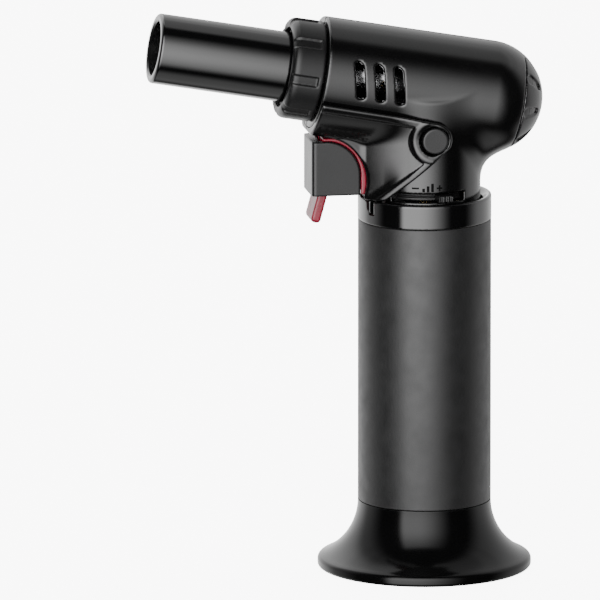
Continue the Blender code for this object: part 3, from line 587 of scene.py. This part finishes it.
def math_node(tree, operation, *values):
    """A math node on sockets or numbers."""
    node = tree.nodes.new("ShaderNodeMath")
    node.operation = operation
    for value, socket in zip(values, node.inputs):
        if isinstance(value, bpy.types.NodeSocket):
            tree.links.new(value, socket)
        else:
            socket.default_value = value
    return node.outputs[0]


class Nodes:
    """A small helper that adds and joins shader nodes."""

    def __init__(self, name):
        self.material = bpy.data.materials.new(name)
        self.material.use_nodes = True
        self.tree = self.material.node_tree
        self.shader = self.tree.nodes["Principled BSDF"]
        self.spot = self.tree.nodes.new("ShaderNodeTexCoord").outputs["Object"]

    def add(self, kind, **settings):
        """A node with its inputs and properties set. A socket value is joined."""
        node = self.tree.nodes.new(kind)
        for key, value in settings.items():
            if key in node.inputs:
                if isinstance(value, bpy.types.NodeSocket):
                    self.tree.links.new(value, node.inputs[key])
                else:
                    node.inputs[key].default_value = value
            else:
                setattr(node, key, value)
        return node

    def noise(self, scale, detail=3.0, rough=0.5):
        """Noise at this many grains per metre."""
        node = self.add("ShaderNodeTexNoise", Vector=self.spot, Scale=scale, Detail=detail, Roughness=rough)
        return node.outputs["Fac"]

    def spread(self, value, low, high, start=0.3, end=0.7):
        """A value drawn out between two limits."""
        node = self.add("ShaderNodeMapRange", Value=value)
        for key, number in (("From Min", start), ("From Max", end), ("To Min", low), ("To Max", high)):
            node.inputs[key].default_value = number
        return node.outputs["Result"]

    def mix(self, factor, a, b):
        """A blend of two colours."""
        node = self.tree.nodes.new("ShaderNodeMix")
        node.data_type = "RGBA"
        self.tree.links.new(factor, node.inputs[0])
        for value, socket in ((a, node.inputs[6]), (b, node.inputs[7])):
            if isinstance(value, bpy.types.NodeSocket):
                self.tree.links.new(value, socket)
            else:
                socket.default_value = (*value, 1.0)
        return node.outputs[2]

    def times(self, a, b):
        """The product of two values."""
        return math_node(self.tree, "MULTIPLY", a, b)

    def bump(self, heights):
        """Bumps laid over each other, as (height, strength, distance in metres)."""
        normal = None
        for height, strength, distance in heights:
            node = self.add("ShaderNodeBump", Height=height, Strength=strength, Distance=distance)
            if normal is not None:
                self.tree.links.new(normal, node.inputs["Normal"])
            normal = node.outputs["Normal"]
        self.tree.links.new(normal, self.shader.inputs["Normal"])

    def edge_wear(self):
        """Where the surface turns sharply outwards."""
        point = self.tree.nodes.new("ShaderNodeNewGeometry").outputs["Pointiness"]
        return self.spread(point, 0.0, 1.0, 0.53, 0.60)

    def set(self, key, value):
        """A shader input, as a value or from a socket."""
        if isinstance(value, bpy.types.NodeSocket):
            self.tree.links.new(value, self.shader.inputs[key])
        elif isinstance(value, tuple):
            self.shader.inputs[key].default_value = (*value, 1.0)
        else:
            self.shader.inputs[key].default_value = value


def plastic(name, color, worn, rough, grain, depth, shine=0.5, coat=0.0):
    """Moulded plastic: cloudy tone, handling marks in the gloss, and paler edges.

    The grain is in grains per metre and its depth in metres.
    """
    n = Nodes(name)
    cloud = n.noise(90.0, 4.0)
    tone = n.mix(n.spread(cloud, 0.0, 1.0), tuple(0.82 * c for c in color), tuple(1.15 * c for c in color))
    n.set("Base Color", n.mix(n.times(n.edge_wear(), n.spread(n.noise(700.0), 0.1, 0.7)), tone, worn))
    smear = n.noise(160.0, 6.0, 0.65)
    n.set("Roughness", n.spread(smear, rough * 0.88, rough * 1.14))
    n.set("Specular IOR Level", shine)
    n.set("Coat Weight", coat)
    n.set("Coat Roughness", 0.08)
    n.bump([(n.noise(grain, 2.0), 0.35, depth)])
    return n.material


def grip_plastic():
    """The sleeve: soft-touch black with a fine leather-like pebble."""
    n = Nodes("grip_soft_touch")
    cells = n.add("ShaderNodeTexVoronoi", Vector=n.spot, Scale=2600.0).outputs["Distance"]
    pebble = n.spread(cells, 1.0, 0.0, 0.0, 0.7)
    cloud = n.noise(60.0, 5.0)
    dark, pale = (0.0060, 0.0060, 0.0063), (0.0095, 0.0095, 0.0098)
    n.set("Base Color", n.mix(n.spread(cloud, 0.0, 1.0), dark, pale))
    n.set("Roughness", n.spread(n.noise(220.0, 6.0), 0.40, 0.50))
    n.bump([(pebble, 0.22, 0.00004), (n.noise(5200.0, 2.0), 0.25, 0.00002)])
    return n.material


def metal(name, color, rough, along=(1.0, 1.0, 1.0), tint=None):
    """Turned or drawn metal: fine tool lines, mottled gloss, and a heat or finger tint."""
    n = Nodes(name)
    stretch = n.add("ShaderNodeMapping", Vector=n.spot, Scale=along).outputs["Vector"]
    lines = n.add("ShaderNodeTexNoise", Vector=stretch, Scale=900.0, Detail=3.0).outputs["Fac"]
    base = n.mix(n.spread(n.noise(110.0, 5.0), 0.0, 1.0), tuple(0.86 * c for c in color), color)
    if tint is not None:
        base = n.mix(n.spread(n.noise(70.0, 3.0), 0.0, 0.5, 0.45, 0.8), base, tint)
    n.set("Base Color", base)
    n.set("Metallic", 1.0)
    n.set("Roughness", n.spread(lines, rough * 0.7, rough * 1.4))
    n.bump([(lines, 0.15, 0.00002)])
    return n.material


def red_plastic():
    """The safety lever: a translucent raspberry resin."""
    n = Nodes("safety_red_resin")
    flow = n.noise(180.0, 3.0)
    n.set("Base Color", n.mix(n.spread(flow, 0.0, 1.0), (0.15, 0.004, 0.014), (0.21, 0.006, 0.022)))
    n.set("Roughness", n.spread(n.noise(260.0, 5.0), 0.20, 0.32))
    n.set("Subsurface Weight", 0.1)
    n.shader.inputs["Subsurface Radius"].default_value = (1.0, 0.25, 0.3)
    n.set("Subsurface Scale", 0.0025)
    n.bump([(n.noise(1500.0, 2.0), 0.12, 0.00002)])
    return n.material


def soft_tube(name, dark, pale, rough):
    """Rubber, nylon, hose or ceramic: mottled tone with a faint grain."""
    n = Nodes(name)
    n.set("Base Color", n.mix(n.spread(n.noise(240.0, 4.0), 0.0, 1.0), dark, pale))
    n.set("Roughness", n.spread(n.noise(500.0, 4.0), rough * 0.85, rough * 1.15))
    n.bump([(n.noise(2400.0, 3.0), 0.2, 0.00003)])
    return n.material


GLOSS = plastic("gloss_black", (0.0024, 0.0024, 0.0026), (0.012, 0.012, 0.013),
                rough=0.09, grain=1800.0, depth=0.000004, coat=0.5)
FOOT = plastic("foot_black", (0.0022, 0.0022, 0.0023), (0.010, 0.010, 0.011),
               rough=0.14, grain=2200.0, depth=0.000004, shine=0.21)
SATIN = plastic("satin_black", (0.0026, 0.0026, 0.0027), (0.016, 0.016, 0.017),
                rough=0.18, grain=3200.0, depth=0.000006, shine=0.62)
RING = plastic("ring_black", (0.0060, 0.0060, 0.0062), (0.022, 0.022, 0.023),
               rough=0.34, grain=3600.0, depth=0.000012, shine=0.35)
GREY = plastic("trigger_grey", (0.0090, 0.0090, 0.0093), (0.040, 0.040, 0.041),
               rough=0.24, grain=4200.0, depth=0.000010, shine=0.36)
BARREL = plastic("coated_barrel", (0.0020, 0.0020, 0.0022), (0.03, 0.03, 0.03),
                 rough=0.12, grain=2600.0, depth=0.000004, shine=0.75, coat=0.3)
MARK = plastic("mark_ink", (0.0012, 0.0012, 0.0013), (0.002, 0.002, 0.002),
               rough=0.60, grain=5000.0, depth=0.00001, shine=0.05)
# Near-black steel whose darkness is painted shade, so the inside of the head seen through the lever window
# and gaps looks shaded.
DARK = plastic("dark_steel_painted_shade", (0.010, 0.010, 0.010), (0.06, 0.06, 0.06),
               rough=0.38, grain=3000.0, depth=0.00001, shine=0.4)
PIEZO = plastic("piezo_case", (0.02, 0.02, 0.021), (0.05, 0.05, 0.05),
                rough=0.40, grain=2800.0, depth=0.00002)
SLEEVE = grip_plastic()
RED = red_plastic()
STEEL = metal("bright_steel", (0.66, 0.66, 0.67), rough=0.20)
BURNER = metal("burner_steel", (0.72, 0.72, 0.73), rough=0.16, along=(1.0, 1.0, 6.0), tint=(0.50, 0.42, 0.34))
BRASS = metal("turned_brass", (0.72, 0.50, 0.20), rough=0.24, tint=(0.50, 0.33, 0.13))
CERAMIC = soft_tube("ceramic", (0.80, 0.77, 0.70), (0.88, 0.86, 0.81), rough=0.40)
NYLON = soft_tube("tank_nylon", (0.60, 0.60, 0.57), (0.72, 0.72, 0.69), rough=0.38)
RUBBER = soft_tube("black_rubber", (0.012, 0.012, 0.012), (0.024, 0.024, 0.024), rough=0.75)
HOSE = soft_tube("hose", (0.56, 0.52, 0.40), (0.68, 0.64, 0.52), rough=0.45)


# ---------------------------------------------------------------- pieces


def piece(obj, material, body, node=None):
    """Give a piece its material and body, and let it stand for a CAD node."""
    obj.data.materials.clear()
    obj.data.materials.append(material)
    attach(obj, body)
    if node is not None:
        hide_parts(node)


def one_side(side, low, high, across, overlap):
    """Corners of a box on one side of the middle plane, from its lowest and highest x and z."""
    near, far = (-across, overlap) if side < 0 else (-overlap, across)
    return (low[0], near, low[1]), (high[0], far, high[1])


def visible_shells():
    """The head halves, the side panels, the ring, the cap and the collar."""
    coarse, fine = ((0.42, 0.36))
    for name, side in (("left", -1), ("right", 1)):
        low, high = one_side(side, (-38.0, 109.5), (36.0, 173.5), 19.0, 1.0)
        half = surface(f"head_{name}_fine", head_half(side), low, high, coarse)
        piece(half, SATIN, "torch_body", f"head_shell_{name}")
        low, high = one_side(side, (-40.0, 115.0), (7.0, 150.5), 21.0, 0.6)
        cover = surface(f"panel_{name}_fine", panel(side), low, high, fine)
        piece(cover, SATIN, "torch_body", f"side_panel_{name}")
    ring = surface("air_ring_fine", air_ring, (-48.5, -16.4, 137.0), (-29.0, 16.4, 172.5), fine)
    piece(ring, RING, "air_ring", "front_ring")
    cap = surface("rear_cap_fine", rear_cap, (21.0, -14.6, 127.0), (37.2, 14.6, 160.5), fine)
    piece(cap, SATIN, "torch_body", "rear_cap")
    band = surface("collar_fine", collar, (-21.2, -21.2, 107.2), (21.2, 21.2, 116.6), fine)
    piece(band, GLOSS, "torch_body", "collar_ring")


def turned_parts():
    """Foot, sleeve and barrel, turned finely."""
    sweep, socket_floor = 19.05, 11.8
    flare = arc((GRIP_RADIUS + sweep, BASE_TOP), sweep, 180.0, 243.5, 40)
    rim = arc((FOOT_RADIUS - 1.5, 2.1), 1.5, 62.0, 0.0, 8) + arc((FOOT_RADIUS - 1.1, 1.1), 1.1, 0.0, -90.0, 8)
    hollow = [(28.0, 0.0), (27.2, 1.0)] + arc((37.0, 21.5), 22.8, 246.0, 213.0, 12)
    socket = [(6.3, 9.0), (6.0, 9.3), (6.0, socket_floor), (GRIP_BORE, socket_floor), (GRIP_BORE, BASE_TOP)]
    foot = lathe("foot_fine", flare + rim + hollow + socket, 160)
    piece(foot, FOOT, "torch_body", "base_foot")

    soft = 0.35
    sleeve = arc((GRIP_RADIUS - soft, GRIP_TOP - soft), soft, 90.0, 0.0, 4)
    sleeve += arc((GRIP_RADIUS - soft, GRIP_LOW + soft), soft, 0.0, -90.0, 4)
    sleeve += [(GRIP_BORE, GRIP_LOW), (GRIP_BORE, GRIP_TOP)]
    piece(lathe("sleeve_fine", sleeve, 160), SLEEVE, "torch_body", "grip_sleeve")

    lip, bore, flange, flange_rear, flange_front = 1.0, 8.3, 12.3, 30.6, 31.3
    barrel = arc((BARREL_RADIUS - lip, TIP_REACH - lip), lip, 90.0, 0.0, 8)
    barrel += [(BARREL_RADIUS, flange_front), (flange, flange_front), (flange, flange_rear)]
    barrel += [(bore, flange_rear), (bore, TIP_REACH - 0.5), (bore + 0.4, TIP_REACH)]
    piece(lathe("barrel_fine", barrel, barrel=True), BARREL, "torch_body", "nozzle_barrel")


def trigger_parts():
    """The trigger, the red lever, the button and the gas lever."""
    fine = 0.25
    pull = surface("trigger_fine", trigger, (-37.0, -9.0, 116.2), (-14.0, 9.0, 135.4), fine)
    piece(pull, GREY, "trigger", "trigger")
    lever = surface("safety_fine", safety_lever, (-37.4, -8.2, 106.8), (-18.0, 8.2, 136.2), fine)
    piece(lever, RED, "safety_lever", "safety_lever")
    button = surface("button_fine", lock_button, (-5.0, -19.8, 130.6), (5.0, -6.8, 140.8), fine)
    piece(button, GREY, "lock_button", "lock_button")
    tab = surface("gas_lever_fine", gas_adjuster, (-16.0, -20.2, 115.4), (11.0, 9.0, 119.2), fine)
    piece(tab, RING, "gas_adjuster", "gas_adjuster")


def patch(name, first, last, low, high, radius, thick):
    """A thin curved plate on the neck, between two angles and two heights."""
    slices = 10
    verts, faces = [], []
    for i in range(slices + 1):
        angle = math.radians(first + (last - first) * i / slices)
        for r, z in ((radius, low), (radius, high), (radius - thick, high), (radius - thick, low)):
            verts.append(((r * math.cos(angle) + HANDLE_X) * MM, r * math.sin(angle) * MM, z * MM))
    for i in range(slices):
        for k in range(4):
            m = (k + 1) % 4
            faces.append((i * 4 + k, i * 4 + m, (i + 1) * 4 + m, (i + 1) * 4 + k))
    faces.append((0, 1, 2, 3))
    faces.append(tuple(slices * 4 + k for k in (3, 2, 1, 0)))
    mesh = bpy.data.meshes.new(name)
    mesh.from_pydata(verts, [], faces)
    outward(mesh)
    return link(name, mesh)


def gas_marks():
    """A minus, three rising bars and a plus, printed on the neck above the gas lever's window."""
    radius, thick = NECK_RADIUS + 0.03, 0.25
    degree = 180.0 / math.pi / NECK_RADIUS
    start = -113.5
    dash_low, dash_high = 120.2, 120.7
    marks = [("minus", 0.0, 2.2, dash_low, dash_high)]
    for index in range(3):
        at = 3.2 + 1.35 * index
        marks.append((f"bar_{index + 1}", at, at + 0.8, 119.3, 120.4 + 0.75 * index))
    marks.append(("plus_across", 7.6, 9.4, dash_low, dash_high))
    marks.append(("plus_up", 8.25, 8.75, 119.55, 121.35))
    for name, first, last, low, high in marks:
        mark = patch(f"mark_{name}", start + first * degree, start + last * degree, low, high, radius, thick)
        piece(mark, MARK, "torch_body")


def pressed_springs():
    """Copies of the two springs that a push shortens."""
    springs = (
        # CAD node, joint, axis it closes along, travel
        ("trigger_spring", "trigger_press", 0, 4.2),
        ("lock_spring", "flame_lock", 1, 2.5),
    )
    for node, joint, axis, travel in springs:
        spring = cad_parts[node].copy()
        spring.data = spring.data.copy()
        spring.name = node + "_fine"
        bpy.context.scene.collection.objects.link(spring)
        piece(spring, STEEL, "torch_body", node)
        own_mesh(spring)


def inner_materials():
    """Give each carried-over CAD node its material."""
    looks = (
        (NYLON, ("fuel_tank", "tank_lid")),
        (RUBBER, ("tank_seal", "ignition_lead")),
        (HOSE, ("dip_tube", "gas_hose")),
        (BRASS, ("fill_valve", "flame_holder", "jet_holder", "gas_jet", "valve_body")),
        (STEEL, ("fill_valve_stem", "electrode", "safety_pin", "safety_spring")),
        (STEEL, ("valve_stem", "valve_lever", "lever_pin")),
        (STEEL, ("shell_screw_1", "shell_screw_2", "shell_screw_3")),
        # The valve nut and lever bracket get the near-black steel as painted shade for the inside of the
        # head.
        (DARK, ("valve_nut", "lever_bracket")),
        (CERAMIC, ("electrode_insulator", "piezo_plunger")),
        (PIEZO, ("piezo_body",)),
        (BURNER, ("burner_tube",)),
    )
    for look, nodes in looks:
        for node in nodes:
            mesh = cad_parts[node].data
            mesh.materials.clear()
            mesh.materials.append(look)


# ---------------------------------------------------------------- stage, light and camera


AZIMUTH, ELEVATION = math.radians(-10.1), math.radians(12.2)
RIGHT = Vector((math.cos(AZIMUTH), math.sin(AZIMUTH), 0.0))
AWAY = Vector((math.sin(AZIMUTH), -math.cos(AZIMUTH), 0.0))
BACK = AWAY * math.cos(ELEVATION) + Vector((0.0, 0.0, math.sin(ELEVATION)))
UP = BACK.cross(RIGHT)

# How bright the sky is everywhere, and how bright each lamp in it is.
AMBIENT = 0.02
KEY, KEY_EDGE = 5.2, 1.7
BEHIND, LEFT_BEHIND, ABOVE_BEHIND = 1.05, 0.9, 0.9
FROM_FLOOR, OVERHEAD = 0.6, 0.7


def floor_material():
    """White that glows, so that the floor is as pale as the background."""
    look = bpy.data.materials.new("floor_white")
    look.use_nodes = True
    shader = look.node_tree.nodes["Principled BSDF"]
    shader.inputs["Base Color"].default_value = (0.9, 0.9, 0.9, 1.0)
    shader.inputs["Roughness"].default_value = 0.5
    shader.inputs["Emission Color"].default_value = (1.0, 1.0, 1.0, 1.0)
    shader.inputs["Emission Strength"].default_value = 8.0
    return look


def stage():
    """A pale floor that neither lights the torch nor shows in it."""
    bpy.ops.mesh.primitive_plane_add(size=60.0, location=(0, 0, 0))
    floor = bpy.context.object
    floor.name = "floor"
    floor.data.materials.append(floor_material())
    floor.visible_glossy = False
    floor.visible_diffuse = False


def bell(tree, value, low, high, soft_low, soft_high):
    """One between two limits, falling off smoothly to zero over a width on each side."""
    parts = []
    for start, end in ((low - soft_low, low), (high + soft_high, high)):
        node = tree.nodes.new("ShaderNodeMapRange")
        node.interpolation_type = "SMOOTHSTEP"
        tree.links.new(value, node.inputs["Value"])
        node.inputs["From Min"].default_value = start
        node.inputs["From Max"].default_value = end
        parts.append(node.outputs["Result"])
    return math_node(tree, "MULTIPLY", *parts)


def surround():
    """Studio light from all round, in degrees to the right of the camera and above the horizon."""
    world = bpy.data.worlds.new("surround")
    bpy.context.scene.world = world
    world.use_nodes = True
    tree = world.node_tree

    def times(a, b):
        return math_node(tree, "MULTIPLY", a, b)

    spot = tree.nodes.new("ShaderNodeTexCoord").outputs["Generated"]
    split = tree.nodes.new("ShaderNodeSeparateXYZ")
    tree.links.new(spot, split.inputs[0])
    x, y, z = split.outputs
    degree = 180.0 / math.pi
    across, along = math.cos(AZIMUTH), math.sin(AZIMUTH)
    right = math_node(tree, "ADD", times(x, across), times(y, along))
    front = math_node(tree, "SUBTRACT", times(x, along), times(y, across))
    turn = times(math_node(tree, "ARCTAN2", right, front), degree)
    height = times(math_node(tree, "ARCSINE", z), degree)
    away = math_node(tree, "ABSOLUTE", turn)

    left_side = bell(tree, turn, -181.0, -132.0, 1.0, 22.0)
    upper_left = bell(tree, turn, -181.0, -140.0, 1.0, 30.0)
    front_side = bell(tree, turn, -34.0, -14.0, 12.0, 62.0)
    back_side = bell(tree, away, 108.0, 190.0, 35.0, 1.0)
    all_round = bell(tree, away, -1.0, 181.0, 1.0, 1.0)
    lamps = (
        (KEY, front_side, bell(tree, height, 6.0, 18.0, 58.0, 44.0)),
        (KEY_EDGE, front_side, bell(tree, height, -30.0, 50.0, 22.0, 7.0)),
        (BEHIND, back_side, bell(tree, height, -40.0, 36.0, 20.0, 22.0)),
        (LEFT_BEHIND, left_side, bell(tree, height, -40.0, 36.0, 20.0, 22.0)),
        (ABOVE_BEHIND, upper_left, bell(tree, height, 40.0, 78.0, 30.0, 8.0)),
        (OVERHEAD, back_side, bell(tree, height, 52.0, 82.0, 12.0, 3.0)),
        (FROM_FLOOR, all_round, bell(tree, height, -91.0, -78.0, 1.0, 22.0)),
    )
    total = AMBIENT
    for strength, sideways, upright in lamps:
        lamp = times(times(sideways, upright), strength)
        total = math_node(tree, "ADD", total, lamp)
    background = tree.nodes["Background"]
    background.inputs["Color"].default_value = (1.0, 1.0, 1.0, 1.0)
    tree.links.new(total, background.inputs["Strength"])


def camera():
    """A long lens that shows next to no perspective."""
    view_width, lens, sensor = 0.18258, 1600.0, 36.0
    aim_right, aim_up = -0.03779, 0.08043
    lookout = Vector((HANDLE_X * MM, 0.0, 0.0)) + RIGHT * aim_right + UP * aim_up
    data = bpy.data.cameras.new("camera")
    data.lens, data.sensor_width = lens, sensor
    data.clip_end = 60.0
    view = bpy.data.objects.new("camera", data)
    view.location = lookout + BACK * (view_width * lens / sensor)
    view.rotation_euler = BACK.to_track_quat("Z", "Y").to_euler()
    bpy.context.scene.collection.objects.link(view)
    bpy.context.scene.camera = view


visible_shells()
turned_parts()
trigger_parts()
gas_marks()
pressed_springs()
inner_materials()
stage()
surround()
camera()
